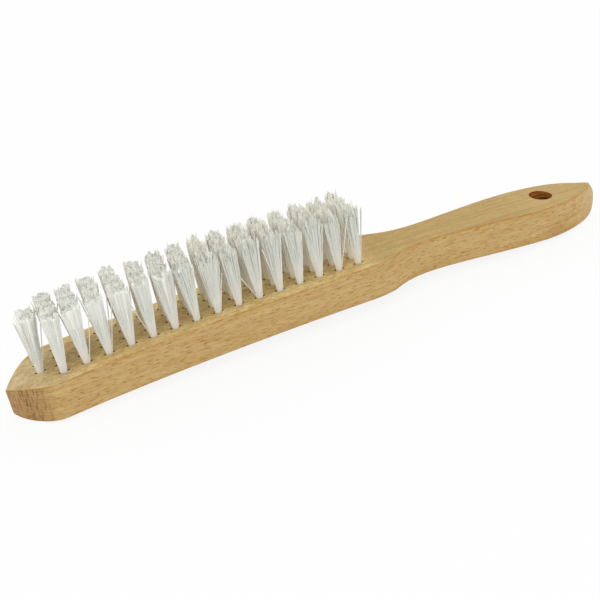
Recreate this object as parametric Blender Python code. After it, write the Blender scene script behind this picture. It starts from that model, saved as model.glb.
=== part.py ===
# Nylon scrub brush: one arched beech board with a handle, set with 62 nylon tufts.
# Metres, +Z up. The board rests on its two end flats at Z = 0, its tip towards -X,
# its handle towards +X, and the bristles stand up on its upper face.

import math
import random

import bmesh
import bpy
import numpy as np
from mathutils import Matrix, Vector
from mathutils.geometry import interpolate_bezier

# Board, seen from above. Every station is a distance along the board from its tip.
board_length = 0.290
block_width = 0.0345
nose_length = 0.0200
side_end_station = 0.1563
corner_station = 0.1680
corner_width = 0.0310
waist_station = 0.1907
waist_width = 0.0193
swell_station = 0.2484
swell_width = 0.0284

# Board, seen from the side. Between its end flats it is arched.
board_thickness = 0.0162
arch_rise = 0.0051
nose_flat = 0.0060
end_flat = 0.0060
nose_roll_drop = 0.0032
nose_rim_setback = 0.0007
end_rim_setback = 0.0033
end_heel_setback = 0.0018

# Hang hole.
hang_hole_diameter = 0.0104
hang_hole_setback = 0.0313

# Tuft pattern: a cross row of two tufts at the tip, where the board narrows, then the full ones.
cross_rows = 16
tufts_per_row = 4
tip_row_station = 0.0149
tip_row_pitch = 0.0064
full_rows_station = 0.0232
cross_row_pitch = 0.00932
tuft_pitch = 0.00684

# Tuft holes, and the slice of beech at their bottoms that the wire anchors bite into.
hole_diameter = 0.0034
hole_depth = 0.0105
fit_gap = 0.0003
slice_width = 0.0040
slice_height = 0.0020
slice_below_hole = 0.0008

# Tufts.
trim_height = 0.0248
packed_height = 0.0040
packed_flare = 0.0004
strands_per_tuft = 6
strand_ring_radius = 0.00100
strand_root_radius = 0.00042
strand_tip_radius = 0.00072
strand_socket = 0.0012
fan_along = 0.0031
fan_across = 0.0023
tip_scatter = 0.00025
trim_scatter = 0.0005

# Every cutter that passes clear through the wood runs this length past it.
overrun = 0.0050

# Shares that shape the curved stretches: how far a handle reaches, and its slope.
nose_tip_angle = math.radians(62)
nose_tip_reach_share = 0.42
nose_side_reach_share = 0.42
block_end_reach_share = 0.35
corner_reach_share = 0.28
corner_slope_share = 0.30
neck_reach_share = 0.30
neck_slope_share = 0.53
waist_in_reach_share = 0.41
waist_out_reach_share = 0.24
swell_in_reach_share = 0.36
swell_out_reach_share = 0.43
end_tip_angle = math.radians(48)
end_tip_reach_share = 0.25
arch_nose_reach_share = 0.22
arch_end_reach_share = 0.278
arch_lift_share = 4 / 3
roll_start_share = 0.04
roll_reach_share = 0.42
rim_reach_share = 0.27
rim_slope_share = 0.50
tip_row_shift_share = 0.0625
dome_reach_share = 0.55
dome_rim_reach_share = 0.30

# Points of an outline closer than this share of the fit gap are one point.
weld_share = 0.01

# Resolutions: straight steps in a curved stretch, and sides of round things.
outline_steps = 7
profile_steps = 10
hang_hole_sides = 20
hole_sides = 8
strand_sides = 3

half_width = block_width / 2
hole_radius = hole_diameter / 2
root_radius = hole_radius - fit_gap
heel_station = board_length - end_heel_setback
arch_end_station = heel_station - end_flat
arch_length = arch_end_station - nose_flat
arch_lift = arch_rise * arch_lift_share
arch_curve = (
    Vector((nose_flat, 0)),
    Vector((nose_flat + arch_length * arch_nose_reach_share, arch_lift)),
    Vector((arch_end_station - arch_length * arch_end_reach_share, arch_lift)),
    Vector((arch_end_station, 0)),
)


def clear_scene():
    for obj in list(bpy.data.objects):
        bpy.data.objects.remove(obj, do_unlink=True)


def make_collection(name):
    collection = bpy.data.collections.new(name)
    bpy.context.scene.collection.children.link(collection)
    return collection


def make_material(name, colour, roughness, metallic):
    material = bpy.data.materials.new(name)
    material.use_nodes = True
    shader = material.node_tree.nodes["Principled BSDF"]
    shader.inputs["Base Color"].default_value = (*colour, 1.0)
    shader.inputs["Roughness"].default_value = roughness
    shader.inputs["Metallic"].default_value = metallic
    material.diffuse_color = (*colour, 1.0)
    return material


def place(name, data, collection, material=None):
    obj = bpy.data.objects.new(name, data)
    collection.objects.link(obj)
    if material:
        data.materials.clear()
        data.materials.append(material)
    return obj


def make_cutter(name, mesh, collection):
    cutter = place(name, mesh, collection)
    cutter.hide_render = True
    cutter.display_type = "WIRE"
    return cutter


def add_boolean(obj, other, operation):
    modifier = obj.modifiers.new(f"{operation.title()} {other.name}", "BOOLEAN")
    modifier.operation = operation
    modifier.solver = "EXACT"
    modifier.object = other


def evaluated_mesh(obj):
    bpy.context.view_layer.update()
    graph = bpy.context.evaluated_depsgraph_get()
    return bpy.data.meshes.new_from_object(obj.evaluated_get(graph))


def mesh_of(name, bm):
    bmesh.ops.recalc_face_normals(bm, faces=bm.faces)
    mesh = bpy.data.meshes.new(name)
    bm.to_mesh(mesh)
    bm.free()
    return mesh


# Outlines. A knot is its place, then the reach of its handle before it and after it.
# A reach of None is a straight run.

def plate_of(name, knots, thickness, steps, collection):
    """A closed outline made a plate of this thickness, centred on its own plane."""
    curve = bpy.data.curves.new(name, "CURVE")
    curve.dimensions = "2D"
    curve.fill_mode = "BOTH"
    curve.extrude = thickness / 2
    curve.resolution_u = steps
    spline = curve.splines.new("BEZIER")
    spline.bezier_points.add(len(knots) - 1)
    spline.use_cyclic_u = True
    for point, (at, before, after) in zip(spline.bezier_points, knots):
        point.handle_left_type = "FREE" if before else "VECTOR"
        point.handle_right_type = "FREE" if after else "VECTOR"
        point.co = (*at, 0)
        if before:
            point.handle_left = Vector((*at, 0)) + Vector((*before, 0))
        if after:
            point.handle_right = Vector((*at, 0)) + Vector((*after, 0))
    guide = place(name, curve, collection)
    mesh = evaluated_mesh(guide)
    bpy.data.objects.remove(guide)
    bm = bmesh.new()
    bm.from_mesh(mesh)
    bmesh.ops.remove_doubles(bm, verts=bm.verts, dist=fit_gap * weld_share)
    return mesh_of(name, bm)


def plan_knots():
    """The board's outline from above: from the tip down one side and back up the other."""
    tip_reach = nose_length * nose_tip_reach_share
    tip_out = (tip_reach * math.cos(nose_tip_angle), tip_reach * math.sin(nose_tip_angle))
    taper = corner_station - side_end_station
    neck = waist_station - corner_station
    shaft = swell_station - waist_station
    tail = board_length - swell_station
    end_reach = tail * end_tip_reach_share
    end_in = (-end_reach * math.cos(end_tip_angle), end_reach * math.sin(end_tip_angle))
    corner_reach = taper * corner_reach_share
    neck_reach = neck * neck_reach_share
    side = [
        ((nose_length, half_width), (-nose_length * nose_side_reach_share, 0), None),
        ((side_end_station, half_width), None, (taper * block_end_reach_share, 0)),
        (
            (corner_station, corner_width / 2),
            (-corner_reach, corner_reach * corner_slope_share),
            (neck_reach, -neck_reach * neck_slope_share),
        ),
        (
            (waist_station, waist_width / 2),
            (-neck * waist_in_reach_share, 0),
            (shaft * waist_out_reach_share, 0),
        ),
        (
            (swell_station, swell_width / 2),
            (-shaft * swell_in_reach_share, 0),
            (tail * swell_out_reach_share, 0),
        ),
    ]
    other_side = [
        ((x, -y), after and (after[0], -after[1]), before and (before[0], -before[1]))
        for (x, y), before, after in reversed(side)
    ]
    nose_tip = ((0, 0), (tip_out[0], -tip_out[1]), tip_out)
    end_tip = ((board_length, 0), end_in, (end_in[0], -end_in[1]))
    return [nose_tip, *side, end_tip, *other_side]


def side_knots():
    """The board from the side: end flats, the arch between them, a domed end, a rolled tip."""
    mid_height = board_thickness / 2
    dome_reach = mid_height * dome_reach_share
    dome_rim_reach = mid_height * dome_rim_reach_share
    rim_height = board_thickness - nose_roll_drop
    under = arch_curve
    over = [point + Vector((0, board_thickness)) for point in after_share(arch_curve, roll_start_share)]
    roll_length = over[0].x - nose_rim_setback
    roll_back = (over[0] - over[1]).normalized() * roll_length * roll_reach_share
    rim_reach = roll_length * rim_reach_share
    return [
        ((0, 0), None, None),
        (under[0], None, under[1] - under[0]),
        (under[3], under[2] - under[3], None),
        ((heel_station, 0), None, (end_heel_setback / 2, dome_rim_reach)),
        ((board_length, mid_height), (0, -dome_reach), (0, dome_reach)),
        (
            (board_length - end_rim_setback, board_thickness),
            (end_rim_setback / 2, -dome_rim_reach),
            None,
        ),
        (over[3], None, over[2] - over[3]),
        (over[0], over[1] - over[0], roll_back),
        ((nose_rim_setback, rim_height), (rim_reach, rim_reach * rim_slope_share), None),
        ((0, mid_height), None, None),
    ]


def after_share(curve, share):
    """The stretch of a cubic curve beyond this share of it, as four points."""
    stretch = list(curve)
    for left in (3, 2, 1):
        for i in range(left):
            stretch[i] = stretch[i].lerp(stretch[i + 1], share)
    return stretch


def face_height(station):
    """Height of the board's upper face between its end flats."""
    points = interpolate_bezier(*arch_curve, cross_rows * profile_steps)
    rise = np.interp(station, [p.x for p in points], [p.y for p in points])
    return board_thickness + float(rise)


def row_place(row):
    """Where a cross row's middle meets the upper face. Every tuft stands straight up."""
    station = full_rows_station + (row - 1) * cross_row_pitch if row else tip_row_station
    return Vector((station - board_length / 2, 0, face_height(station)))


def row_offsets(row):
    """The tufts' places across the board, as pairs that share one slice of the backing."""
    if row == 0:
        steps = [tip_row_shift_share + side / 2 for side in (-1, 1)]
        return [[step * tip_row_pitch for step in steps]]
    offsets = [(i - (tufts_per_row - 1) / 2) * tuft_pitch for i in range(tufts_per_row)]
    return [offsets[i : i + 2] for i in range(0, tufts_per_row, 2)]


def add_round(bm, radius, low, high, centre, sides):
    """A closed cylinder along Z between two heights. It returns its points."""
    at = Matrix.Translation((*centre, (low + high) / 2))
    made = bmesh.ops.create_cone(
        bm,
        cap_ends=True,
        segments=sides,
        radius1=radius,
        radius2=radius,
        depth=high - low,
        matrix=at @ Matrix.Rotation(math.pi / sides, 4, "Z"),
    )
    return made["verts"]


def add_slice(bm, offsets, gap):
    """The slice of beech that a pair's anchors bite into, or its slot when it has a gap."""
    long = abs(offsets[1] - offsets[0]) + 2 * root_radius
    size = (slice_width + 2 * gap, long + 2 * gap, slice_height + 2 * gap)
    middle = (0, sum(offsets) / 2, slice_height / 2 - hole_depth - slice_below_hole)
    at = Matrix.Translation(middle) @ Matrix.Diagonal((*size, 1))
    return bmesh.ops.create_cube(bm, size=1, matrix=at)["verts"]


def build_board(material, parts, cutters):
    """The plan outline, cut to the side profile, with its hang hole, tuft holes and slots."""
    tall = overrun + board_thickness + arch_lift + overrun
    board = place("beech_board", plate_of("board_plan", plan_knots(), tall, outline_steps, parts), parts)
    board.data.materials.append(material)
    board.data.transform(Matrix.Translation((-board_length / 2, 0, tall / 2 - overrun)))
    wide = overrun + block_width + overrun
    profile_mesh = plate_of("board_profile", side_knots(), wide, profile_steps, cutters)
    profile_mesh.transform(Matrix.Rotation(math.pi / 2, 4, "X"))
    profile_mesh.transform(Matrix.Translation((-board_length / 2, 0, 0)))
    add_boolean(board, make_cutter("side_profile", profile_mesh, cutters), "INTERSECT")

    bm = bmesh.new()
    at = (board_length / 2 - hang_hole_setback, 0)
    add_round(bm, hang_hole_diameter / 2, -overrun, tall - overrun, at, hang_hole_sides)
    add_boolean(board, make_cutter("hang_hole", mesh_of("hang_hole", bm), cutters), "DIFFERENCE")

    holes = bmesh.new()
    slots = bmesh.new()
    for row in range(cross_rows):
        at = row_place(row)
        for offsets in row_offsets(row):
            made = add_slice(slots, offsets, fit_gap)
            bmesh.ops.translate(slots, verts=made, vec=at)
            for offset in offsets:
                made = add_round(holes, hole_radius, -hole_depth, overrun, (0, offset), hole_sides)
                bmesh.ops.translate(holes, verts=made, vec=at)
    add_boolean(board, make_cutter("tuft_holes", mesh_of("tuft_holes", holes), cutters), "DIFFERENCE")
    add_boolean(board, make_cutter("anchor_slots", mesh_of("anchor_slots", slots), cutters), "DIFFERENCE")

    mesh = evaluated_mesh(board)
    board.modifiers.clear()
    board.data = mesh
    mesh.shade_smooth()
    mesh.set_sharp_from_angle(angle=math.radians(30))
    return board


def add_root(bm, offset):
    """A tuft's packed root: it fills the hole, then flares to where its strands part."""
    made = add_round(bm, root_radius, fit_gap - hole_depth, 0, (0, offset), hole_sides)
    rim = {vert for vert in made if vert.co.z > -fit_gap}
    cap = next(face for face in bm.faces if set(face.verts) == rim)
    lifted = bmesh.ops.extrude_face_region(bm, geom=[cap])["geom"]
    bm.faces.remove(cap)
    ring = [item for item in lifted if isinstance(item, bmesh.types.BMVert)]
    flare = 1 + packed_flare / root_radius
    about = Matrix.Translation((0, -offset, 0))
    bmesh.ops.scale(bm, vec=(flare, flare, 1), space=about, verts=ring)
    bmesh.ops.translate(bm, vec=(0, 0, packed_height), verts=ring)


def add_strand(bm, root, tip, spin):
    """One tapered strand between two points."""
    along = tip - root
    turn = along.to_track_quat("Z", "Y").to_matrix().to_4x4()
    bmesh.ops.create_cone(
        bm,
        cap_ends=True,
        segments=strand_sides,
        radius1=strand_root_radius,
        radius2=strand_tip_radius,
        depth=along.length,
        matrix=Matrix.Translation((root + tip) / 2) @ turn @ Matrix.Rotation(spin, 4, "Z"),
    )


def add_tuft_strands(bm, offset, dice):
    """A strand up the middle and a ring of others that fan out round it."""
    ring = strands_per_tuft - 1
    first = dice.uniform(0, math.tau / ring)
    root_height = packed_height - strand_socket
    for i in range(strands_per_tuft):
        out = Vector((0, 0))
        if i < ring:
            angle = first + math.tau * i / ring
            out = Vector((math.cos(angle), math.sin(angle)))
        root = Vector((out.x * strand_ring_radius, offset + out.y * strand_ring_radius, root_height))
        tip = Vector((out.x * fan_along, offset + out.y * fan_across, trim_height))
        tip.x += dice.uniform(-tip_scatter, tip_scatter)
        tip.y += dice.uniform(-tip_scatter, tip_scatter)
        tip.z += dice.uniform(-trim_scatter, trim_scatter)
        add_strand(bm, root, tip, dice.uniform(0, math.tau))


def pair_mesh(name, offsets, dice, helpers):
    """Two tufts on their slice: each packed root in its hole, and its strands above."""
    backing = bmesh.new()
    add_slice(backing, offsets, 0)
    slice_obj = place(name, mesh_of(name, backing), helpers)
    roots = bmesh.new()
    strands = bmesh.new()
    for offset in offsets:
        add_root(roots, offset)
        add_tuft_strands(strands, offset, dice)
    helpers_made = []
    for part_name, bm in (("roots", roots), ("strands", strands)):
        helper = place(part_name, mesh_of(part_name, bm), helpers)
        add_boolean(slice_obj, helper, "UNION")
        helpers_made.append(helper)
    mesh = evaluated_mesh(slice_obj)
    for helper in (*helpers_made, slice_obj):
        bpy.data.objects.remove(helper)
    mesh.name = name
    return mesh


def build_tufts(material, parts, helpers, parent):
    """Every pair of tufts, numbered by cross row from the tip, lettered across the board."""
    for row in range(cross_rows):
        for index, offsets in enumerate(row_offsets(row)):
            side = "ab"[index]
            name = f"tuft_pair_{row + 1:02d}{side}"
            dice = random.Random(row * tufts_per_row + index)
            obj = place(name, pair_mesh(name, offsets, dice, helpers), parts, material)
            obj.location = row_place(row)
            obj.parent = parent


def main():
    clear_scene()
    parts = make_collection("nylon_scrub_brush")
    cutters = make_collection("cutters")
    beech = make_material("beech", (0.60, 0.38, 0.17), 0.55, 0.0)
    nylon = make_material("nylon", (0.78, 0.79, 0.74), 0.35, 0.0)
    frame = place("brush_frame", None, parts)
    board = build_board(beech, parts, cutters)
    board.parent = frame
    build_tufts(nylon, parts, cutters, frame)


main()
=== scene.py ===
import bisect
import math
import random

import bmesh
import bpy
from mathutils import Matrix, Vector
from mathutils.geometry import interpolate_bezier


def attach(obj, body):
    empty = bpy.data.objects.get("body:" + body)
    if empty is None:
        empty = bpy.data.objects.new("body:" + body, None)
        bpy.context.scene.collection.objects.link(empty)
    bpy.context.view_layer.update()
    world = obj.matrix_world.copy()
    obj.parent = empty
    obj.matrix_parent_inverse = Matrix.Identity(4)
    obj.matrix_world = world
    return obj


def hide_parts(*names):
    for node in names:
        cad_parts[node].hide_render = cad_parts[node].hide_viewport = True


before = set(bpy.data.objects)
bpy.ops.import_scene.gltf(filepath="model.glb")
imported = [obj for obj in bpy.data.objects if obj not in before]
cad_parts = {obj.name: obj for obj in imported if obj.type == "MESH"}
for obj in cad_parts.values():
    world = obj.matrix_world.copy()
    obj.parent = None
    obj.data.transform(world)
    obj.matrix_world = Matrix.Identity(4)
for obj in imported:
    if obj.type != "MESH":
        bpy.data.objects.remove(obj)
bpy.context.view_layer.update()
print("frame loaded:", len(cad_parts), "nodes")


# Materials: a wire is a node's output that can stand in plain sums

class Wire:
    def __init__(self, nodes, out):
        self.nodes = nodes
        self.out = out

    def math(self, operation, *others):
        return self.nodes.sum(operation, self, *others)

    def __add__(self, other):
        return self.math("ADD", other)

    def __sub__(self, other):
        return self.math("SUBTRACT", other)

    def __mul__(self, other):
        return self.math("MULTIPLY", other)

    def __truediv__(self, other):
        return self.math("DIVIDE", other)

    def __pow__(self, other):
        return self.math("POWER", other)

    def __abs__(self):
        return self.math("ABSOLUTE")

    def __rsub__(self, other):
        return self.nodes.sum("SUBTRACT", other, self)

    def __rtruediv__(self, other):
        return self.nodes.sum("DIVIDE", other, self)

    __radd__ = __add__
    __rmul__ = __mul__

    def above(self, edge):
        return self.math("GREATER_THAN", edge)

    def clamp(self):
        return self.math("MINIMUM", 1.0).math("MAXIMUM", 0.0)

    # 0 below the first value and 1 above the second, eased between them
    def ramp(self, low, high):
        return self.nodes.add(
            "ShaderNodeMapRange",
            {"interpolation_type": "SMOOTHSTEP"},
            {"Value": self, "From Min": low, "From Max": high},
        )


class Nodes:
    def __init__(self, tree):
        self.tree = tree

    def plug(self, socket, value):
        if isinstance(value, Wire):
            self.tree.links.new(value.out, socket)
        elif socket.type == "RGBA" and len(value) == 3:
            socket.default_value = (*value, 1.0)
        else:
            socket.default_value = value

    def add(self, kind, settings=None, sockets=None, out=0):
        node = self.tree.nodes.new(kind)
        for key, value in (settings or {}).items():
            setattr(node, key, value)
        for key, value in (sockets or {}).items():
            self.plug(node.inputs[key], value)
        return Wire(self, node.outputs[out])

    def sum(self, operation, *values):
        return self.add("ShaderNodeMath", {"operation": operation}, dict(enumerate(values)))

    # 1 for what the camera sees, straight on or in a shine, and 0 for the light on other things
    def seen(self):
        straight, shine, through = [
            self.add("ShaderNodeLightPath", out=f"Is {kind} Ray")
            for kind in ("Camera", "Glossy", "Transmission")
        ]
        return straight.math("MAXIMUM", shine.math("MAXIMUM", through))


class Finish(Nodes):
    def __init__(self, name, **fixed):
        self.material = bpy.data.materials.new(name)
        self.material.use_nodes = True
        super().__init__(self.material.node_tree)
        self.shader = self.tree.nodes["Principled BSDF"]
        self.set(**fixed)

    # A socket's name with its spaces left out, such as BaseColor, and its value or wire
    def set(self, **values):
        for socket in self.shader.inputs:
            if socket.name.replace(" ", "") in values:
                self.plug(socket, values[socket.name.replace(" ", "")])

    # The place on the piece in millimetres, counted from the brush's own origin
    def place(self):
        here = self.add("ShaderNodeTexCoord", out="Object")
        return self.add("ShaderNodeVectorMath", {"operation": "SCALE"}, {0: here, "Scale": 1000.0})

    # A vector's three parts
    def axes(self, vector):
        node = self.add("ShaderNodeSeparateXYZ", sockets={0: vector}).out.node
        return [Wire(self, out) for out in node.outputs]

    # The three parts of the direction that the surface faces
    def facing(self):
        return self.axes(self.add("ShaderNodeNewGeometry", out="Normal"))

    # A value that the mesh carries at its vertices
    def carried(self, name):
        return self.add("ShaderNodeAttribute", {"attribute_name": name}, out="Fac")

    # A vector counted in steps of these sizes, and moved by whole shifts of them
    def stretch(self, vector, sizes, shift=(0, 0, 0)):
        scaled = self.add("ShaderNodeVectorMath", {"operation": "DIVIDE"}, {0: vector, 1: sizes})
        return self.add("ShaderNodeVectorMath", {"operation": "ADD"}, {0: scaled, 1: shift})

    # Noise whose grains are this long along each axis
    def noise(self, vector, sizes, detail=2.0, rough=0.5, shift=(0, 0, 0)):
        return self.add(
            "ShaderNodeTexNoise",
            sockets={
                "Vector": self.stretch(vector, sizes, shift),
                "Scale": 1.0,
                "Detail": detail,
                "Roughness": rough,
            },
        )

    def combine(self, x=0.0, y=0.0, z=0.0):
        return self.add("ShaderNodeCombineXYZ", sockets={0: x, 1: y, 2: z})

    # A chance from 0 to 1 for each whole step of a value
    def chance(self, value):
        return self.add(
            "ShaderNodeTexWhiteNoise", {"noise_dimensions": "1D"}, {"W": value.math("FLOOR")}
        )

    # Scattered flat flecks of this cell size, in this share of the cells: 1 out to a fleck's core
    # and 0 from its rim, both as shares of a cell. Each line of cells starts at its own place, so
    # that no columns show.
    def flecks(self, along, across, sizes, share, shift=(0, 0, 0), core=0.10, rim=0.27):
        line = self.chance(across / (sizes[1] * 1.9) + shift[1])
        started = self.combine(along + line * sizes[0] * 7.0, across)
        flat = self.stretch(started, (*sizes, 1.0), shift)
        cells = self.add(
            "ShaderNodeTexVoronoi",
            {"feature": "F1", "voronoi_dimensions": "2D"},
            {"Vector": flat, "Scale": 1.0, "Randomness": 1.0},
        ).out.node
        distance = Wire(self, cells.outputs["Distance"])
        chance = self.axes(Wire(self, cells.outputs["Color"]))[0]
        return (1.0 - distance.ramp(core, rim)) * chance.math("LESS_THAN", share)

    def mix(self, share, first, second, blend="MIX"):
        return self.add(
            "ShaderNodeMix",
            {"data_type": "RGBA", "blend_type": blend},
            {0: share, 6: first, 7: second},
            out=2,
        )

    def bump(self, height, strength, distance=0.0002):
        return self.add(
            "ShaderNodeBump",
            sockets={"Strength": strength, "Distance": distance, "Height": height},
        )


def addObject(name, mesh, material):
    piece = bpy.data.objects.new(name, mesh)
    bpy.context.scene.collection.objects.link(piece)
    mesh.materials.clear()
    mesh.materials.append(material)
    return piece


# Board

board = {
    "length": 0.290,
    "width": 0.0345,
    "thickness": 0.0162,
    # From above: places along the board, and its width there
    "tip": 0.0200,           # the tip's curved stretch
    "sideEnd": 0.1563,       # where the straight sides stop
    "corner": (0.1680, 0.0310),
    "waist": (0.1907, 0.0193),
    "swell": (0.2484, 0.0284),
    # How far each curve holds its direction at its two ends, as shares of its length
    "tipPull": (0.42, 0.42),
    "cornerPull": (0.35, 0.28),
    "neckPull": (0.30, 0.41),
    "shaftPull": (0.24, 0.36),
    "tailPull": (0.43, 0.25),
    "cornerSlopes": (0.30, 0.53),  # of the side before the blunt corner and after it
    "pointLeans": (62, 48),        # of the sides at the tip and at the handle's end, in degrees
    # From the side
    "archRise": 0.0051,
    "archStart": 0.0060,
    "archEnd": 0.2822,
    "archPull": (0.22, 0.278),
    "tipRoll": (0.0007, 0.0130),   # the tip's rim: its place and height
    "rollPull": (0.27, 0.42),
    "rollSlope": 0.50,
    "rollPoint": 6,          # the arch's point that the roll runs out at
    "tipHeel": 0.0024,       # how far the tip's lower edge is rounded
    "tipHeelSpan": (0.004, 0.018),
    "endRim": 0.2867,
    "endHeel": 0.2882,
    "endTurn": 0.30,         # how far its curves have turned in halfway, in half thicknesses
    "endBulge": (0.262, 0.290),    # where the end wall begins to bulge, and where it does so fully
    "endLift": (0.250, 0.282, 0.0006),   # from here to there the upper face comes up by this much
    # Edges
    "arris": 0.00060,        # how far the edges are rounded
    "endHeelRound": 0.0022,  # and how much more the lower edge is at the handle's end
    "endHeelSpan": (0.250, 0.284),
    "arrisWear": (0.0, 0.0, 0.5, 1.0, 0.7),   # how rubbed it is round the upper arris
    "heelWear": 0.25,        # and along the lower one
    # Places down the wall, as shares of it, and how rubbed they are
    "wallSteps": ((0.012, 0.2), (0.04, 0.0), (0.3, 0.0), (0.5, 0.0), (0.7, 0.0), (0.9, 0.1)),
    "hangHole": (0.1139, 0.00970),   # its place from the brush's middle, and its diameter
    "hangRim": (0.0098, 0.0120),     # the worn rim's size along and across
    "hangWear": (0.0010, 0.0009),    # how deep it is worn, and how far over to the far side
    # The mesh's rings
    "point": 0.00004,        # how far in from the ends the last ones stand, and the least half width
    "endFrom": 0.268,        # where they begin to crowd towards the handle's end
    "crowding": 1.7,
    "ringCounts": (34, 62, 30, 34, 34),   # in the tip, the block, the neck, the shaft and the end
}


# Points along one cubic curve, as pairs
def curveStretch(start, startOut, endIn, end, steps=48):
    curve = interpolate_bezier(*map(Vector, (start, startOut, endIn, end)), steps)
    return [(point.x, point.y) for point in curve]


# The height of a line of points at this place, which is level beyond its ends
def heightAt(points, x):
    i = min(max(bisect.bisect_left([p[0] for p in points], x), 1), len(points) - 1)
    (x0, y0), (x1, y1) = points[i - 1], points[i]
    return y0 + (y1 - y0) * min(max((x - x0) / max(x1 - x0, 1e-9), 0), 1)


# Half of the board's outline from above, from the tip to the handle's end
def planOutline():
    length, tip, sideEnd, half = board["length"], board["tip"], board["sideEnd"], board["width"] / 2
    (cornerAt, corner), (waistAt, waist), (swellAt, swell) = [
        (at, wide / 2) for at, wide in (board["corner"], board["waist"], board["swell"])
    ]
    slopeIn, slopeOut = board["cornerSlopes"]
    tipLean, endLean = [math.radians(lean) for lean in board["pointLeans"]]
    out, back = [tip * pull for pull in board["tipPull"]]
    points = curveStretch(
        (0, 0), (out * math.cos(tipLean), out * math.sin(tipLean)), (tip - back, half), (tip, half)
    )
    out, back = [(cornerAt - sideEnd) * pull for pull in board["cornerPull"]]
    points += curveStretch(
        (sideEnd, half), (sideEnd + out, half),
        (cornerAt - back, corner + back * slopeIn), (cornerAt, corner), 16,
    )
    out, back = [(waistAt - cornerAt) * pull for pull in board["neckPull"]]
    points += curveStretch(
        (cornerAt, corner), (cornerAt + out, corner - out * slopeOut),
        (waistAt - back, waist), (waistAt, waist),
    )[1:]
    out, back = [(swellAt - waistAt) * pull for pull in board["shaftPull"]]
    points += curveStretch(
        (waistAt, waist), (waistAt + out, waist), (swellAt - back, swell), (swellAt, swell)
    )[1:]
    out, back = [(length - swellAt) * pull for pull in board["tailPull"]]
    points += curveStretch(
        (swellAt, swell), (swellAt + out, swell),
        (length - back * math.cos(endLean), back * math.sin(endLean)), (length, 0),
    )[1:]
    return points


# The arch's lower line. A curve that is pulled this high peaks at three quarters of it.
def archPoints():
    start, end = board["archStart"], board["archEnd"]
    out, back = [(end - start) * pull for pull in board["archPull"]]
    pulled = board["archRise"] * 4 / 3
    return curveStretch((start, 0), (start + out, pulled), (end - back, pulled), (end, 0), 160)


# The board's lower and upper lines from the side
def sideOutlines():
    thick, length = board["thickness"], board["length"]
    arch = archPoints()
    middle = thick / 2
    near = 0.45     # a corner's curve that is pulled this near to it is close to a quarter circle
    heel, endHeel, endRim = board["tipHeel"], board["endHeel"], board["endRim"]
    turn = middle * board["endTurn"]
    under = curveStretch((0, heel), (0, heel * near), (heel * near, 0), (heel, 0), 8) + arch
    under += curveStretch(
        (endHeel, 0), ((endHeel + length) / 2, turn), (length, middle * near), (length, middle), 24
    )
    first = board["rollPoint"]
    (rollAt, rollLow), (nextAt, nextLow) = arch[first:first + 2]
    slope = (nextLow - rollLow) / (nextAt - rollAt)
    rimAt, rimHeight = board["tipRoll"]
    out, back = [(rollAt - rimAt) * pull for pull in board["rollPull"]]
    over = [(0, rimHeight - rimAt)]
    over += curveStretch(
        (rimAt, rimHeight), (rimAt + out, rimHeight + out * board["rollSlope"]),
        (rollAt - back, rollLow + thick - back * slope), (rollAt, rollLow + thick), 32,
    )
    over += [(x, y + thick) for x, y in arch[first + 1:]]
    over += curveStretch(
        (endRim, thick), ((endRim + length) / 2, thick - turn),
        (length, thick - middle * near), (length, middle), 24,
    )
    return under, over


def faceHeight(station):
    return board["thickness"] + heightAt(archPoints(), station)


# Steps from one place to another, without the first
def stepsBetween(start, end, count):
    return [start + (end - start) * i / count for i in range(1, count + 1)]


def boardStations():
    length, tip, sideEnd, waist = board["length"], board["tip"], board["sideEnd"], board["waist"][0]
    endFrom, crowding, point = board["endFrom"], board["crowding"], board["point"]
    tipCount, blockCount, neckCount, shaftCount, endCount = board["ringCounts"]
    stations = [tip * share ** crowding for share in stepsBetween(0, 1, tipCount)]
    stations += stepsBetween(tip, sideEnd, blockCount)
    stations += stepsBetween(sideEnd, waist, neckCount)
    stations += stepsBetween(waist, endFrom, shaftCount)
    for share in stepsBetween(0, 1, endCount)[:-1]:
        stations.append(length - (length - endFrom) * (1 - share) ** crowding)
    return [point, *stations, length - point]


# One ring round the board at a station: out along the top, down a side and back under. Each point
# is its place across, its height and how rubbed it is.
def boardRing(half, low, high, heel):
    arris = min(board["arris"], half * 0.9, (high - low) * 0.4)
    heel = min(heel, half * 0.9, (high - low) * 0.4)
    quarter = [math.radians(90 * i / 4) for i in range(5)]
    flat, flatUnder = half - arris, half - heel
    top = [(flat * (-1 + 2 * i / 12), high, 0.0) for i in range(1, 12)]
    corner = [
        (flat + arris * math.sin(angle), high - arris + arris * math.cos(angle), wear)
        for angle, wear in zip(quarter, board["arrisWear"])
    ]
    wall = high - low - arris - heel
    side = [(half, high - arris - wall * share, wear) for share, wear in board["wallSteps"]]
    lower = [
        (flatUnder + heel * math.cos(angle), low + heel - heel * math.sin(angle), board["heelWear"])
        for angle in quarter
    ]
    right = corner + side + lower
    under = [(-y * flatUnder / flat, low, 0.0) for y, z, wear in top]
    left = [(-y, z, wear) for y, z, wear in reversed(right)]
    return top + right + under + left


# Where the end wall's bulge reaches at each height
def endProfile(under, over):
    low = [(z, x) for x, z in under if x >= board["endHeel"]]
    high = [(z, x) for x, z in reversed(over) if x >= board["endRim"]]
    return low + high


# 0 at the low value and 1 at the high one, eased between them
def shareBetween(value, low, high):
    share = min(max((value - low) / (high - low), 0), 1)
    return share * share * (3 - 2 * share)


def skinRings(bm, rings):
    for ring, ahead in zip(rings, rings[1:]):
        for i in range(len(ring)):
            j = (i + 1) % len(ring)
            bm.faces.new((ring[i], ring[j], ahead[j], ahead[i]))
    bm.faces.new(rings[0][::-1])
    bm.faces.new(rings[-1])


def meshFrom(bm, name):
    mesh = bpy.data.meshes.new(name)
    bm.to_mesh(mesh)
    bm.free()
    return mesh


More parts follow.
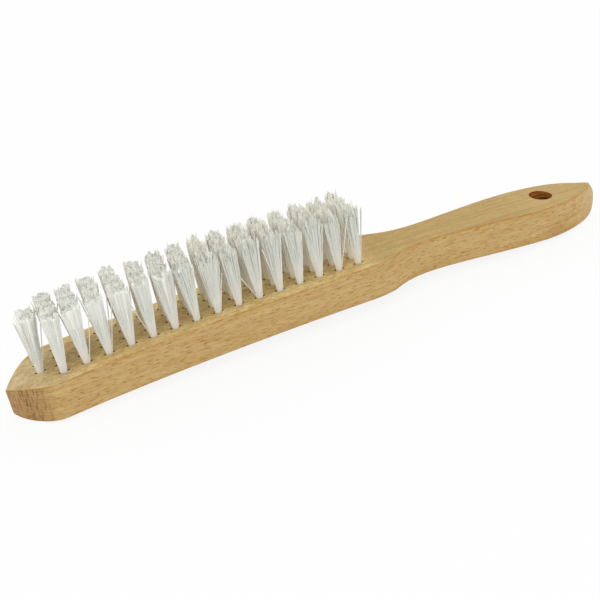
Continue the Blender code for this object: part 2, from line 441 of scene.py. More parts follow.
def boardMesh():
    plan = planOutline()
    under, over = sideOutlines()
    profile = endProfile(under, over)
    length = board["length"]
    liftFrom, liftTo, lift = board["endLift"]
    bm = bmesh.new()
    edgeLayer = bm.verts.layers.float.new("edgeWear")
    rings = []
    for station in boardStations():
        ring = []
        half = max(heightAt(plan, station), board["point"] * 1.5)
        low, high = heightAt(under, station), heightAt(over, station)
        heel = board["arris"] + board["endHeelRound"] * shareBetween(station, *board["endHeelSpan"])
        heel += board["tipHeel"] * 0.6 * (1 - shareBetween(station, *board["tipHeelSpan"]))
        bulge = shareBetween(station, *board["endBulge"])
        raised = lift * shareBetween(station, liftFrom, liftTo)
        for y, z, wear in boardRing(half, low, high, heel):
            if bulge:
                setback = length - heightAt(profile, min(max(z, 0), board["thickness"]))
                y *= max(heightAt(plan, station + setback * bulge), board["point"]) / half
            z += raised * (z - low) / (high - low)
            vert = bm.verts.new((station - length / 2, y, z))
            vert[edgeLayer] = wear
            ring.append(vert)
        rings.append(ring)
    skinRings(bm, rings)
    bmesh.ops.recalc_face_normals(bm, faces=bm.faces)
    return meshFrom(bm, "board")


# Tufts: where they stand, and the filaments each one holds

tufts = {
    # The holes and where they stand
    "rows": 16,
    "pitch": 0.00932,
    "across": 0.00684,
    "tipStation": 0.0149,
    "tipPitch": 0.0064,
    "tipShift": 0.0004,
    "firstStation": 0.0232,
    "holeRadius": 0.00162,
    "holeDepth": 0.0090,
    "nick": (0.0046, 0.00080, 0.0022),   # the cut an anchor's ends leave: length, width, depth
    # The filaments' course
    "packed": 0.00125,       # radius within which they are packed at the wood
    "packedHeight": 0.0016,
    "rootDepth": 0.004,
    "joints": (0.0055, 0.0105, 0.0165),  # heights at which they bend
    "fanFrom": 0.3,          # where they begin to fan out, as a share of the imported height
    "fanBend": 1.08,         # over 1 they fan out later
    "filamentRadius": 0.000205,
    "radiusScatter": (0.9, 1.1),
    "placeScatter": (0.94, 1.06),
    "bow": 0.0002,
    "ceiling": 0.0478,       # no filament reaches over this
    "tilt": 0.00030,         # how far the trimmed top slopes
    "tenth": 0.0001,         # a tenth of a millimetre, for the rows of numbers below
    # Half widths of the near column's fans along the board, from the tip
    "fanNear": (29, 36, 38, 34, 42, 38, 41, 41, 44, 39, 43, 40, 44, 44, 38, 36),
    "spreadAcross": 0.0030,
    # How far the tops of the near column's tufts lean along the board, and the far one's
    "leanNear": (17, 9, -2, -5, 2, 0, -3, -7, -3, -6, -6, 2, 0, 0, -6, -4),
    "leanFar": (14, 10, 2, 7, 1, 14, 13, 14, 9, 5, 7, 6, 11, 16, 9, 10),
    "leanScatter": 0.0003,   # and of the columns between them
    # Rows before the first of these are neatly trimmed, and rows after the second are loose
    "looseRows": (4, 9),
    # Up to the clumps, each pair is for a neat tuft and a loose one
    "filaments": (100, 150),
    "trim": (0.0246, 0.0250),
    "fanFar": (33, 40),
    "ragged": (0.00022, 0.00055),        # scatter of the filaments' heights
    "clumpRagged": (0.00025, 0.00060),   # and of a clump's
    "strokeRagged": (0.00050, 0.00100),  # and of a stroke's
    "droop": (0.0008, 0.0018),           # how much lower they end at the tuft's outside
    "clumpPull": (0.12, 0.28),
    "crowding": (0.22, 0.42),            # the less, the more of them stand at the tuft's outside
    "spike": (0.0005, 0.0009),           # how long a filament's narrowing end is
    "ends": (210, 110),                  # filaments inside a tuft, of which only the ends show
    "endRagged": (0.00016, 0.00045),
    "heartDrop": (0.0003, 0.0016),       # how far the heart stops below the trim
    "heartWide": (1.0, 0.58),
    "clumps": 9,
    "clumpAside": 0.0003,
    "strokes": 10,           # bands across a tuft whose filaments end at one height
    "spikeTip": 0.55,        # how wide a filament's tip is, as a share
    "endRadius": 0.00036,
    "heartRibs": 26,         # the heart: filaments that stand too close to be told apart
    "heartFoot": 0.86,       # its reach in the hole
    "heartShares": (0.97, 0.91, 0.62, 0.32),   # reach of its ribs, its hollows and its top's rings
    "toothShare": 0.09,      # of the filaments, how many stand out above the rest
    "toothHeight": 0.0012,
    "toothScatter": (0.3, 1.0),
    "strayShare": 0.03,      # and how many stand out aside
    "strayReach": 0.0020,
    "strayScatter": (0.4, 1.0),
    "strayFrom": 0.6,        # they stand farther out than this
    "droopScatter": (0.2, 1.8),
    "endsWide": 0.93,        # how far out the ends stand, as a share of the heart
    "endsPacked": 0.8,
    # Shades of painted light, where 0 is a filament at the tuft's outside in its own colour and 1 an
    # inner one, painted lighter for the light that passes through the nylon
    "shadeMiddle": 1.15,     # the painted light of one at the tuft's middle, as a share of its own tone
    "shadeLoss": 0.7,        # and how much of that is lost at the outside
    "shadeAlong": 0.9,       # the least painted light at the tuft's two sides along the board, where the next rows shade them
    "endShade": (0.45, 0.40),    # an end's least painted light, and what its stroke's tone adds
    "heartShade": (0.95, 1.0),
    "loneShade": 0.2,
    "loneBow": 0.03,         # as a share of their reach along
    # Lone filaments: row, column, reach along and across at the top, and height over the trim
    "lone": (
        (1, 0, -0.0036, -0.0010, -0.0004), (1, 0, -0.0031, -0.0016, -0.0012),
        (1, 0, 0.0058, -0.0010, -0.0040), (3, 0, -0.0049, 0.0012, 0.0006),
        (3, 0, 0.0056, -0.0012, -0.0050), (4, 0, -0.0050, 0.0014, 0.0008),
        (4, 0, 0.0049, 0.0006, -0.0010), (4, 0, 0.0057, -0.0014, -0.0036),
        (5, 0, 0.0052, 0.0010, 0.0006), (6, 0, -0.0058, 0.0004, -0.0080),
        (7, 0, 0.0044, 0.0004, 0.0002), (9, 0, 0.0046, -0.0008, -0.0080),
        (11, 0, -0.0098, -0.0010, -0.0070), (14, 0, 0.0040, -0.0018, -0.0010),
        (15, 0, 0.0064, -0.0022, 0.0004), (15, 0, 0.0054, -0.0026, -0.0020),
        (16, 0, 0.0036, -0.0022, 0.0008), (16, 0, 0.0033, -0.0018, 0.0004),
        (14, 3, -0.0012, 0.0010, 0.0014), (15, 3, -0.0052, 0.0012, 0.0006),
        (16, 3, -0.0006, 0.0016, 0.0014), (16, 3, 0.0004, 0.0020, 0.0015),
        (16, 3, 0.0036, 0.0014, 0.0016),
    ),
}


# Each pair's name, with its tufts' stations and how far across they stand
def tuftPlaces():
    places = {}
    for row in range(tufts["rows"]):
        if row:
            station = tufts["firstStation"] + (row - 1) * tufts["pitch"]
            offsets = [(i - 1.5) * tufts["across"] for i in range(4)]
        else:
            station = tufts["tipStation"]
            offsets = [tufts["tipShift"] + side * tufts["tipPitch"] / 2 for side in (-1, 1)]
        for i in range(0, len(offsets), 2):
            name = f"{row + 1:02d}{'ab'[i // 2]}"
            places[name] = [(station, offset) for offset in offsets[i:i + 2]]
    return places


def addCone(bm, radii, depth, at, segments, stretch=(1, 1)):
    bmesh.ops.create_cone(
        bm, cap_ends=True, segments=segments, radius1=radii[0], radius2=radii[1], depth=depth,
        matrix=Matrix.Translation(at) @ Matrix.Diagonal((*stretch, 1, 1)),
    )


def holeCutters():
    holes, nicks, bore, rim = [bmesh.new() for i in range(4)]
    radius, depth = tufts["holeRadius"], tufts["holeDepth"]
    long, wide, deep = tufts["nick"]
    over = 0.004    # how far the drill stands out over the wood
    for pair in tuftPlaces().values():
        for station, offset in pair:
            at = Vector((station - board["length"] / 2, offset, faceHeight(station)))
            middle = at - Vector((0, 0, (depth - over) / 2))
            addCone(holes, (radius, radius), depth + over, middle, 20)
            nickShape = Matrix.Diagonal((long, wide, 2 * deep, 1))
            bmesh.ops.create_cube(nicks, size=1.0, matrix=Matrix.Translation(at) @ nickShape)
    place, across = board["hangHole"]
    wearDepth, aside = board["hangWear"]
    top = faceHeight(place + board["length"] / 2)
    through = 4 * board["thickness"]
    addCone(bore, (across / 2, across / 2), through, (place, 0, board["thickness"] / 2), 48)
    # The rim's cone is as wide as the worn oval where it meets the wood
    addCone(rim, (0.4, 0.6), 2 * wearDepth, (place, aside, top), 48, board["hangRim"])
    return {"tuftHoles": holes, "anchorNicks": nicks, "hangBore": bore, "hangRim": rim}


# Beech

beech = {
    "straw": (0.605, 0.422, 0.176),
    "tan": (0.522, 0.340, 0.119),
    "pale": (0.640, 0.470, 0.235),
    "fleck": (0.290, 0.092, 0.014),
    "honey": (0.500, 0.280, 0.080),
    "topPale": (0.640, 0.475, 0.235),
    "topDark": (0.400, 0.262, 0.095),
    "handleTint": (0.92, 0.88, 0.69),   # the top is more yellow on the handle
    "endTint": (0.97, 0.95, 0.79),      # but less so at its end
    # painted light on the top among the tufts, lifting the shade they cast
    "blockTint": (1.27, 1.32, 1.26),
    "noseTint": (1.06, 1.13, 1.22),     # and palest at the tip
    "smudge": (0.430, 0.235, 0.065),
    "growthLine": (0.380, 0.245, 0.095),
    "endGrain": (0.335, 0.182, 0.055),
    "endPale": (0.520, 0.330, 0.130),
    "endFleck": (0.205, 0.075, 0.018),
    "endWall": (0.605, 0.460, 0.245),
    "edgeLine": (0.420, 0.200, 0.030),
    "bore": (0.160, 0.042, 0.004),
    "boreRing": (0.520, 0.230, 0.045),
    "holeTones": ((0.10, 0.050, 0.018), (0.24, 0.135, 0.050)),
    "nickTones": ((0.030, 0.018, 0.010), (0.085, 0.045, 0.018)),
    # Stretches where the look changes, in millimetres from the brush's middle
    "tipWallSpan": (-128.0, -120.0),
    "noseSpan": (-126.0, -112.0),
    "blockEndSpan": (8.0, 22.0),
    "handleEndSpan": (84.0, 108.0),
    "endWallSpan": (120.0, 132.0),
    "sideShift": 57.3,          # how far the far side's grain is moved, so that the two differ
    # A faint handling mark near the hang hole: its place along and up, and its reach
    "mark": ((116.0, 6.5), (11.0, 5.5)),
    "rayLean": 62,              # how far the flecks lean where the tip's wall turns, in degrees
    "uprightLean": 0.08,        # and the slope of those on the wall itself
}


def beechFinish():
    wood = Finish("beechWood", SpecularIORLevel=0.22)
    here = wood.place()
    x, y, z = wood.axes(here)
    endFacing, _, topFacing = wood.facing()
    topness = abs(topFacing).ramp(0.55, 0.85)
    endness = abs(endFacing).ramp(0.22, 0.74)
    atTip = 1.0 - x.ramp(*beech["tipWallSpan"])
    atEnd = x.ramp(*beech["endWallSpan"])
    inBlock = 1.0 - x.ramp(*beech["blockEndSpan"])
    edge = wood.carried("edgeWear")
    sideX = x + y.above(0.0) * beech["sideShift"]

    # Sides: soft bands along the grain, fine streaks, and short dark ray flecks
    wander = (wood.noise(here, (30.0, 40.0, 9.0), 1.0) - 0.5) * 1.6
    bands = wood.noise(wood.combine(sideX, y * 0.02, z + wander), (19.0, 1.0, 1.05), 3.0, 0.55)
    streaks = wood.noise(wood.combine(sideX, y, z + wander), (6.5, 3.0, 0.34), 3.0, 0.6, (4, 2, 9))
    side = wood.mix(bands.ramp(0.36, 0.64), beech["straw"], beech["tan"])
    side = wood.mix(streaks.ramp(0.42, 0.72) * 0.55, side, beech["pale"])
    jog = (wood.noise(here, (1.6, 2.5, 1.6), 1.0, 0.5, (5, 5, 5)) - 0.5) * 0.8
    level = z + wander * 0.35 + jog * 0.03
    fine = wood.noise(wood.combine(sideX, y, level), (15.0, 3.0, 0.24), 2.0, 0.5, (8, 1, 3))
    side = wood.mix(fine.ramp(0.50, 0.68) * 0.55, side, beech["honey"])
    long = wood.flecks(sideX, level, (7.6, 0.62), 0.48, (0.3, 0.1, 0), 0.06, 0.23)
    short = wood.flecks(sideX, level, (3.6, 0.48), 0.40, (7.7, 3.2, 0), 0.06, 0.24)
    faint = wood.flecks(sideX, level, (11.0, 0.95), 0.50, (2.2, 9.1, 0), 0.05, 0.30)
    flecks = (long + short * 0.75 + faint * 0.28).clamp()
    side = wood.mix(flecks, side, beech["fleck"])

    # Top: a planed, fuzzy face with brown patches of painted shade between the tufts and growth
    # lines on the handle
    fuzz = wood.noise(here, (1.5, 0.75, 4.0), 4.0, 0.65, (1, 7, 3))
    mottle = wood.noise(here, (5.5, 2.6, 9.0), 3.0, 0.6, (9, 1, 4))
    blend = ((fuzz * 0.6 + mottle * 0.4).ramp(0.36, 0.65) - 0.5) * (0.42 + inBlock * 0.63) + 0.5
    top = wood.mix(blend, beech["topDark"], beech["topPale"])
    # Painted shade: brown patches at random over the block, where the tufts shade the wood
    paintedTuftShade = wood.noise(here, (9.0, 3.5, 30.0), 2.0, 0.55, (3, 3, 3)).ramp(0.50, 0.68)
    top = wood.mix(paintedTuftShade * inBlock * 0.45, top, beech["smudge"])
    lines = wood.noise(wood.combine(x, y + wander, 0.0), (110.0, 1.5, 1.0), 2.0, 0.5, (2, 6, 0))
    top = wood.mix(lines.ramp(0.48, 0.64) * (0.50 - inBlock * 0.28), top, beech["growthLine"])
    pores = wood.flecks(x, y, (8.0, 5.0), 0.25, (1.7, 4.4, 0), 0.02, 0.07)
    top = wood.mix(pores * 0.7, top, beech["fleck"])
    tint = wood.mix(x.ramp(*beech["handleEndSpan"]), beech["handleTint"], beech["endTint"])
    # Painted light: the top among the tufts is lightened against the tufts' shade
    tint = wood.mix(inBlock, tint, beech["blockTint"])
    tint = wood.mix(x.ramp(*beech["noseSpan"]), beech["noseTint"], tint)
    top = wood.mix(1.0, top, tint, "MULTIPLY")
    colour = wood.mix(topness, side, top)

    # End grain: upright flecks over level lines on the tip's wall, and flecks that lean where the
    # wall turns into the side
    lean = y + z * beech["uprightLean"]
    upright = wood.flecks(lean, z, (0.8, 6.0), 0.60, (0.6, 0.2, 0), 0.05, 0.22)
    threads = wood.noise(wood.combine(lean, z, 0.0), (0.55, 6.0, 1.0), 2.0, 0.5, (5, 2, 0))
    rows = wood.noise(wood.combine(y, z, 0.0), (6.0, 0.36, 1.0), 3.0, 0.6, (3, 8, 0))
    endTone = wood.mix(rows.ramp(0.42, 0.58) * 0.85, beech["endGrain"], beech["endPale"])
    endTone = wood.mix(threads.ramp(0.52, 0.62) * 0.80, endTone, beech["endFleck"])
    endTone = wood.mix(upright * 0.95, endTone, beech["endFleck"])
    turned = wood.add(
        "ShaderNodeVectorRotate",
        {"rotation_type": "Y_AXIS"},
        {"Vector": here, "Angle": math.radians(beech["rayLean"])},
    )
    alongTurned, _, acrossTurned = wood.axes(turned)
    tilt = wood.flecks(alongTurned, acrossTurned, (6.0, 1.3), 0.55, (4.1, 0.7, 0), 0.07, 0.24)
    turn = endness * (1.0 - endness) * 4.0
    endTone = wood.mix(tilt * turn, endTone, beech["fleck"])

    # The handle's end is paler, with saw marks that run aslant and short dashes
    slant = wood.combine(z - y * 0.6, y + z * 0.6, 0.0)
    sawn = wood.noise(slant, (4.5, 0.42, 1.0), 2.0, 0.5, (1, 5, 0))
    hatch = wood.mix(sawn.ramp(0.50, 0.64) * 0.55, beech["endWall"], beech["growthLine"])
    dashes = wood.flecks(y + z * 0.15, z, (0.6, 2.2), 0.4, (6.1, 2.7, 0), 0.05, 0.2)
    hatch = wood.mix(dashes * 0.7, hatch, beech["endFleck"])
    ends = wood.mix(atTip, hatch, endTone)
    share = endness * (1.0 - topness) * (atTip * 0.95 + atEnd * 0.65)
    colour = wood.mix(share, colour, ends)

    # The handling mark on the near side, and the rubbed line along the arris
    (markAt, markUp), (markLong, markTall) = beech["mark"]
    away = ((x - markAt) / markLong) ** 2.0 + ((z - markUp) / markTall) ** 2.0
    mark = (1.0 - away.ramp(0.3, 1.3)) * (1.0 - y.above(0.0)) * bands.ramp(0.2, 0.6)
    colour = wood.mix(mark * 0.45, colour, beech["smudge"])
    broken = wood.noise(here, (5.0, 30.0, 30.0), 4.0, 0.7, (6, 2, 2)).ramp(0.38, 0.60)
    rubbed = 0.12 + broken * 0.70 + (1.0 - inBlock) * 0.25
    colour = wood.mix(edge * rubbed.clamp(), colour, beech["edgeLine"])
    wood.set(BaseColor=colour, Roughness=0.52 + fuzz * 0.16)
    height = streaks * 0.4 + fuzz * topness * 0.9 - flecks * 0.4
    wood.set(Normal=wood.bump(height, 0.4, 0.00012))
    return wood.material


def boreFinish():
    wood = Finish("boredBeech", SpecularIORLevel=0.1)
    here = wood.place()
    rings = wood.noise(here, (30.0, 30.0, 0.55), 3.0, 0.6)
    wood.set(
        BaseColor=wood.mix(rings.ramp(0.44, 0.62), beech["bore"], beech["boreRing"]),
        Roughness=0.75,
        Normal=wood.bump(rings, 0.5, 0.0002),
    )
    return wood.material


# Broken wood in a drilled hole or a cut, with chips of this size in millimetres, painted dark for
# the shade inside it
def chippedFinish(name, chip, dark, light, roughness):
    wood = Finish(name, Roughness=roughness, SpecularIORLevel=0.2)
    chips = wood.noise(wood.place(), (chip, chip, chip), 2.0, 0.6)
    wood.set(BaseColor=wood.mix(chips.ramp(0.3, 0.7), dark, light))
    return wood.material


def makeBoard():
    piece = addObject("boardBody", boardMesh(), beechFinish())
    bored = boreFinish()
    finishes = {
        # The tuft holes and the anchors' nicks are painted dark: painted shade in the recesses
        "tuftHoles": chippedFinish("drilledBeech", 0.6, *beech["holeTones"], 0.85),
        "anchorNicks": chippedFinish("anchorNick", 0.5, *beech["nickTones"], 0.9),
        "hangBore": bored,
        "hangRim": bored,
    }
    cutters = []
    for name, bm in holeCutters().items():
        cutter = addObject(name, meshFrom(bm, name), finishes[name])
        cut = piece.modifiers.new(name, "BOOLEAN")
        cut.object = cutter
        cut.operation = "DIFFERENCE"
        cut.solver = "EXACT"
        cut.material_mode = "TRANSFER"
        cutters.append(cutter)
    bpy.context.view_layer.update()
    graph = bpy.context.evaluated_depsgraph_get()
    mesh = bpy.data.meshes.new_from_object(piece.evaluated_get(graph))
    piece.modifiers.clear()
    piece.data = mesh
    for cutter in cutters:
        bpy.data.objects.remove(cutter)
    mesh.shade_smooth()
    mesh.set_sharp_from_angle(angle=math.radians(40))
    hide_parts("beech_board")
    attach(piece, "root")
    print("board made:", len(mesh.polygons), "faces")


# Nylon

nylonTones = {
    "foot": (0.80, 0.785, 0.735),
    "top": (0.70, 0.715, 0.665),
    "looseTop": (0.71, 0.725, 0.66),
    "innerFoot": (0.985, 0.95, 0.84),   # painted light for filaments that others shade, in place of the light that passes through the real brush's nylon
    "innerTop": (0.99, 0.98, 0.90),
    # painted shade on faces that look up, so that the light on the filaments' ends does not stand
    # out
    "cutEnd": (0.60, 0.62, 0.58),
}

# What each vertex of a tuft carries: its share of the height, its tone with painted light, and its
# tuft's looseness
tuftLayers = ("alongShare", "filamentShade", "looseShare")


def nylonFinish():
    nylon = Finish("nylonFilament", Roughness=0.5, SpecularIORLevel=0.25)
    height, shade, loose = [nylon.carried(name) for name in tuftLayers]
    topFacing = nylon.facing()[2]
    # Outer filaments are warm at the foot and greyer at the top, and darker there: painted shade
    # that evens out the light falling on their upper sides
    outer = nylon.mix(height.ramp(0.0, 0.55), nylonTones["foot"], nylonTones["top"])
    outer = nylon.mix(loose * height.ramp(0.3, 0.8), outer, nylonTones["looseTop"])
    # Painted light: shaded filaments are mixed towards a lighter, warmer colour
    inner = nylon.mix(height.ramp(0.1, 0.9), nylonTones["innerFoot"], nylonTones["innerTop"])
    colour = nylon.mix(shade ** 2.0, outer, inner)
    # Faces that look up are painted darker: painted shade
    colour = nylon.mix(topFacing.ramp(0.5, 0.9) * 0.85, colour, nylonTones["cutEnd"])
    nylon.set(BaseColor=colour)
    return nylon.material


# Even places in a disc, as a sunflower's seeds lie
def packedPlaces(count, crowding, dice):
    turn = dice.uniform(0, math.tau)
    golden = math.pi * (3 - math.sqrt(5))
    return [(((i + 0.5) / count) ** crowding, turn + i * golden) for i in range(count)]


# What one tuft's filaments share: where it stands, how it fans and leans, its clumps and strokes
class Tuft:
    def __init__(self, bm, layers, row, column, station, offset, dice):
        self.bm, self.layers, self.dice = bm, layers, dice
        self.row, self.column = row, column
        self.foot = Vector((station - board["length"] / 2, offset, faceHeight(station)))
        self.loose = shareBetween(row, *tufts["looseRows"])
        self.behind = min(column, 1)    # 1 for all but the near column: those tufts stand in its shade and get the full painted light
        far = column / (3 if row else 1)
        lean = tufts["leanNear"][row] * (1 - far) + tufts["leanFar"][row] * far
        fan = tufts["fanNear"][row] * (1 - far) + self.between("fanFar") * far
        self.lean = lean * tufts["tenth"]
        if 0 < far < 1:
            self.lean += dice.gauss(0, tufts["leanScatter"])
        self.spread = Vector((fan * tufts["tenth"], tufts["spreadAcross"]))
        self.tilt = Vector((dice.gauss(0, tufts["tilt"]), dice.gauss(0, tufts["tilt"])))

        # A clump: its middle in the tuft's unit disc, how much higher and how far aside it ends,
        # and its tone
        self.clumps = []
        for i in range(tufts["clumps"]):
            angle, out = dice.uniform(0, math.tau), math.sqrt(dice.uniform(0.02, 0.85))
            middle = Vector((out * math.cos(angle), out * math.sin(angle)))
            higher = dice.gauss(0, self.between("clumpRagged"))
            self.clumps.append((middle, higher, dice.gauss(0, tufts["clumpAside"]), dice.random()))

        # A stroke: how much higher it ends, and its tone
        ragged = self.between("strokeRagged")
        self.strokes = [(dice.gauss(0, ragged), dice.random()) for i in range(tufts["strokes"])]

    # A size that lies between a neat tuft's and a loose one's
    def between(self, key):
        neat, free = tufts[key]
        return neat + (free - neat) * self.loose

    # For a place in the tuft's unit disc: where it goes at the top, drawn towards the nearest
    # clump, with the trim's height there, how much higher it ends than that, and its tone
    def fanned(self, out, pull):
        nearest = min(self.clumps, key=lambda clump: (clump[0] - out).length)
        middle, higher, aside, clumpTone = nearest
        band = min(max(int((out.x + 1) / 2 * tufts["strokes"]), 0), tufts["strokes"] - 1)
        over, bandTone = self.strokes[band]
        place = out.lerp(middle, pull)
        reach = Vector((place.x * self.spread.x + self.lean + aside, place.y * self.spread.y))
        top = self.between("trim") + self.tilt.dot(out)
        return reach, top, higher + over, (clumpTone + bandTone) / 2

    # One filament's course: straight up where it is packed, then out to its own place at the top
    def path(self, root, reach, top, bow=0.0):
        path = []
        start = tufts["packedHeight"]
        low = start * tufts["fanFrom"]
        top = min(top, tufts["ceiling"] - self.foot.z)
        for rise in (-tufts["rootDepth"], 0.0, start, *tufts["joints"], top):
            free = min(max((rise - low) / (top - low), 0), 1) ** tufts["fanBend"]
            at = root.lerp(reach, free) + Vector((bow * math.sin(math.pi * free), 0))
            path.append(self.foot + Vector((at.x, at.y, rise)))
        return path

    # A closed skin over rings of points, from the foot to the top
    def addSkin(self, rings, shades):
        along, tone, looseness = self.layers
        made = []
        for ring in rings:
            verts = [self.bm.verts.new(point) for point in ring]
            for vert, shade in zip(verts, shades):
                height = (vert.co.z - self.foot.z) / self.between("trim")
                vert[along] = min(max(height, 0), 1)
                vert[tone] = shade
                vert[looseness] = self.loose
            made.append(verts)
        skinRings(self.bm, made)

    # A filament narrows over its last stretch, so that a crowd of them reads as fine strokes
    def addFilament(self, path, radius, shade, sides=6):
        *course, below, tip = path
        spike = min(self.between("spike"), (tip - below).length * 0.6)
        shoulder = tip - (tip - below).normalized() * spike
        stops = [(at, 1.0) for at in (*course, below, shoulder)]
        stops.append((tip, tufts["spikeTip"]))
        angles = [math.tau * k / sides for k in range(sides)]
        rings = []
        for i, (at, share) in enumerate(stops):
            back, ahead = stops[max(i - 1, 0)][0], stops[min(i + 1, len(stops) - 1)][0]
            turn = (ahead - back).to_track_quat("Z", "Y")
            around = [Vector((math.cos(a), math.sin(a), 0)) * radius * share for a in angles]
            rings.append([at + turn @ out for out in around])
        self.addSkin(rings, [shade] * sides)

    # The filaments that show at the tuft's outside, at their full length
    def addFilaments(self):
        dice = self.dice
        pull, ragged, droop = [self.between(key) for key in ("clumpPull", "ragged", "droop")]
        count, crowding = round(self.between("filaments")), self.between("crowding")
        for share, angle in packedPlaces(count, crowding, dice):
            out = Vector((math.cos(angle), math.sin(angle))) * share
            reach, top, higher, tone = self.fanned(out * dice.uniform(*tufts["placeScatter"]), pull)
            if dice.random() < tufts["strayShare"] and share > tufts["strayFrom"]:
                aside = tufts["strayReach"] * dice.uniform(*tufts["strayScatter"])
                reach.x += math.copysign(aside, out.x)
            top += higher + dice.gauss(0, ragged)
            top -= droop * share ** 2 * dice.uniform(*tufts["droopScatter"])
            if dice.random() < tufts["toothShare"]:
                top += tufts["toothHeight"] * dice.uniform(*tufts["toothScatter"])
            path = self.path(out * tufts["packed"], reach, top, dice.gauss(0, tufts["bow"]))
            # Painted light: a filament gets more of the lighter inner colour the farther in it
            # stands, on the tuft's sides along the board, and in every tuft behind the near column,
            # where they stand in shade
            own = tone * 0.6 + dice.random() * 0.4
            shade = own * (tufts["shadeMiddle"] - tufts["shadeLoss"] * share)
            shade = max(shade, self.behind, out.x ** 2 * tufts["shadeAlong"])
            radius = tufts["filamentRadius"] * dice.uniform(*tufts["radiusScatter"])
            self.addFilament(path, radius, shade)

    # Inside the tuft only the filaments' ends are made, which stand up out of the heart. Their tone
    # follows the stroke they stand in, over a least share of painted light.
    def addEnds(self):
        dice = self.dice
        least, gain = tufts["endShade"]
        for share, angle in packedPlaces(round(self.between("ends")), 0.5, dice):
            out = Vector((math.cos(angle), math.sin(angle))) * share
            place = out * tufts["endsWide"] * self.between("heartWide")
            reach, top, higher, tone = self.fanned(place, self.between("clumpPull") / 2)
            top += higher + dice.gauss(0, self.between("endRagged"))
            top -= self.between("droop") * share ** 2 * 0.8
            path = self.path(out * tufts["packed"] * tufts["endsPacked"], reach, top)[-2:]
            self.addFilament(path, tufts["endRadius"], least + gain * tone, 5)

    # The heart is one ribbed body that the filaments stand round, painted almost fully in the inner
    # filaments' painted light
    def addHeart(self):
        ribs = 2 * tufts["heartRibs"]
        rib, hollow, *inner = [share * self.between("heartWide") for share in tufts["heartShares"]]

        def heartPath(share, k):
            angle = math.tau * k / ribs
            out = Vector((math.cos(angle), math.sin(angle)))
            reach, top, higher, _ = self.fanned(out * share, self.between("clumpPull") / 2)
            foot = out * tufts["heartFoot"] * tufts["packed"]
            return self.path(foot, reach, top + higher - self.between("heartDrop"))

        rings = list(zip(*[heartPath(hollow if k % 2 else rib, k) for k in range(ribs)]))
        rings += [[heartPath(share, k)[-1] for k in range(ribs)] for share in inner]
        self.addSkin(rings, [self.dice.uniform(*tufts["heartShade"]) for k in range(ribs)])

    def addLoneFilaments(self):
        for row, column, along, across, over in tufts["lone"]:
            if (row - 1, column) == (self.row, self.column):
                reach = Vector((along, across))
                root = reach.normalized() * tufts["packed"]
                top = self.between("trim") + over
                path = self.path(root, reach, top, along * tufts["loneBow"])
                self.addFilament(path, tufts["filamentRadius"], tufts["loneShade"])


def makeTufts():
    material = nylonFinish()
    places = tuftPlaces()
    for name, pair in places.items():
        bm = bmesh.new()
        layers = [bm.verts.layers.float.new(layer) for layer in tuftLayers]
        row, first = int(name[:2]) - 1, 2 * "ab".index(name[2])
        for i, (station, offset) in enumerate(pair):
            dice = random.Random(f"{name}{i}")
            tuft = Tuft(bm, layers, row, first + i, station, offset, dice)
            tuft.addFilaments()
            tuft.addEnds()
            tuft.addHeart()
            tuft.addLoneFilaments()
        piece = addObject(f"tufts_{name}", meshFrom(bm, f"tufts_{name}"), material)
        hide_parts(f"tuft_pair_{name}")
        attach(piece, "root")
    print("tufts made:", len(places), "pairs")


# Floor, light and camera

studio = {
    "world": 1.01,
    # Each light's power, place and size
    "key": (0.9, (-0.40, -0.45, 1.15), 1.2),
    "fill": (0.4, (0.9, -0.3, 0.8), 0.9),
    "floorSize": 3.0,
    "floorWhite": 0.90,
    "floorGrain": 0.985,
    "floorGlow": 0.88,       # how far the camera sees the floor as plain white
    "camera": (-0.130464, -0.314854, 0.185854),
    "aim": (-0.016897, 0.0, 0.007495),
    "roll": -9.554,
    "lens": 51.54,
}


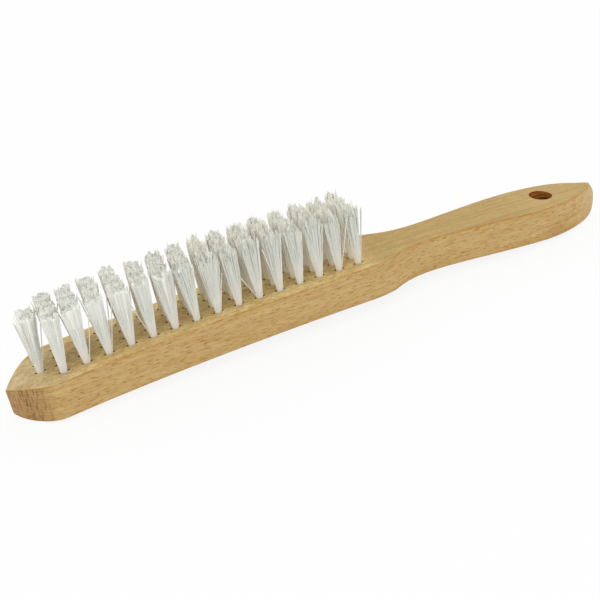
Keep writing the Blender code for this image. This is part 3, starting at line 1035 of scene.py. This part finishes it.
# The world lights the brush at its own strength, and the camera sees it plain white
def makeWorld():
    world = bpy.data.worlds.new("studio")
    world.use_nodes = True
    sky = Nodes(world.node_tree)
    back = world.node_tree.nodes["Background"].inputs
    sky.plug(back["Color"], (1.0, 1.0, 1.0))
    sky.plug(back["Strength"], studio["world"] + sky.seen() * (1.0 - studio["world"]))
    bpy.context.scene.world = world


def makeLights():
    for name in ("key", "fill"):
        power, at, size = studio[name]
        lamp = bpy.data.lights.new(name, "AREA")
        lamp.energy = power
        lamp.size = size
        light = bpy.data.objects.new(name, lamp)
        light.location = at
        light.rotation_euler = (-Vector(at)).to_track_quat("-Z", "Y").to_euler()
        bpy.context.scene.collection.objects.link(light)


def makeFloor():
    bm = bmesh.new()
    bmesh.ops.create_grid(bm, x_segments=8, y_segments=8, size=studio["floorSize"])
    paper = Finish("floorPaper", Roughness=0.9, SpecularIORLevel=0.1)
    grain = paper.noise(paper.place(), (4.0, 4.0, 4.0), 2.0)
    white = studio["floorWhite"]
    paper.set(BaseColor=paper.mix(grain, (white,) * 3, (white * studio["floorGrain"],) * 3))
    glow = paper.add("ShaderNodeEmission", sockets={"Color": (1.0, 1.0, 1.0), "Strength": 1.0})
    plain = Wire(paper, paper.shader.outputs[0])
    blend = paper.add(
        "ShaderNodeMixShader", sockets={0: paper.seen() * studio["floorGlow"], 1: plain, 2: glow}
    )
    paper.plug(paper.tree.nodes["Material Output"].inputs["Surface"], blend)
    floor = addObject("floor", meshFrom(bm, "floor"), paper.material)


def makeCamera():
    lens = bpy.data.cameras.new("camera")
    lens.lens = studio["lens"]
    lens.sensor_width = 36.0
    camera = bpy.data.objects.new("camera", lens)
    at, aim = Vector(studio["camera"]), Vector(studio["aim"])
    look = (aim - at).to_track_quat("-Z", "Y").to_matrix().to_4x4()
    roll = Matrix.Rotation(math.radians(studio["roll"]), 4, "Z")
    camera.matrix_world = Matrix.Translation(at) @ look @ roll
    bpy.context.scene.collection.objects.link(camera)
    bpy.context.scene.camera = camera


def makeStudio():
    bpy.context.scene.view_settings.view_transform = "Standard"
    makeWorld()
    makeLights()
    makeFloor()
    makeCamera()
    print("studio ready")


makeStudio()
makeBoard()
makeTufts()
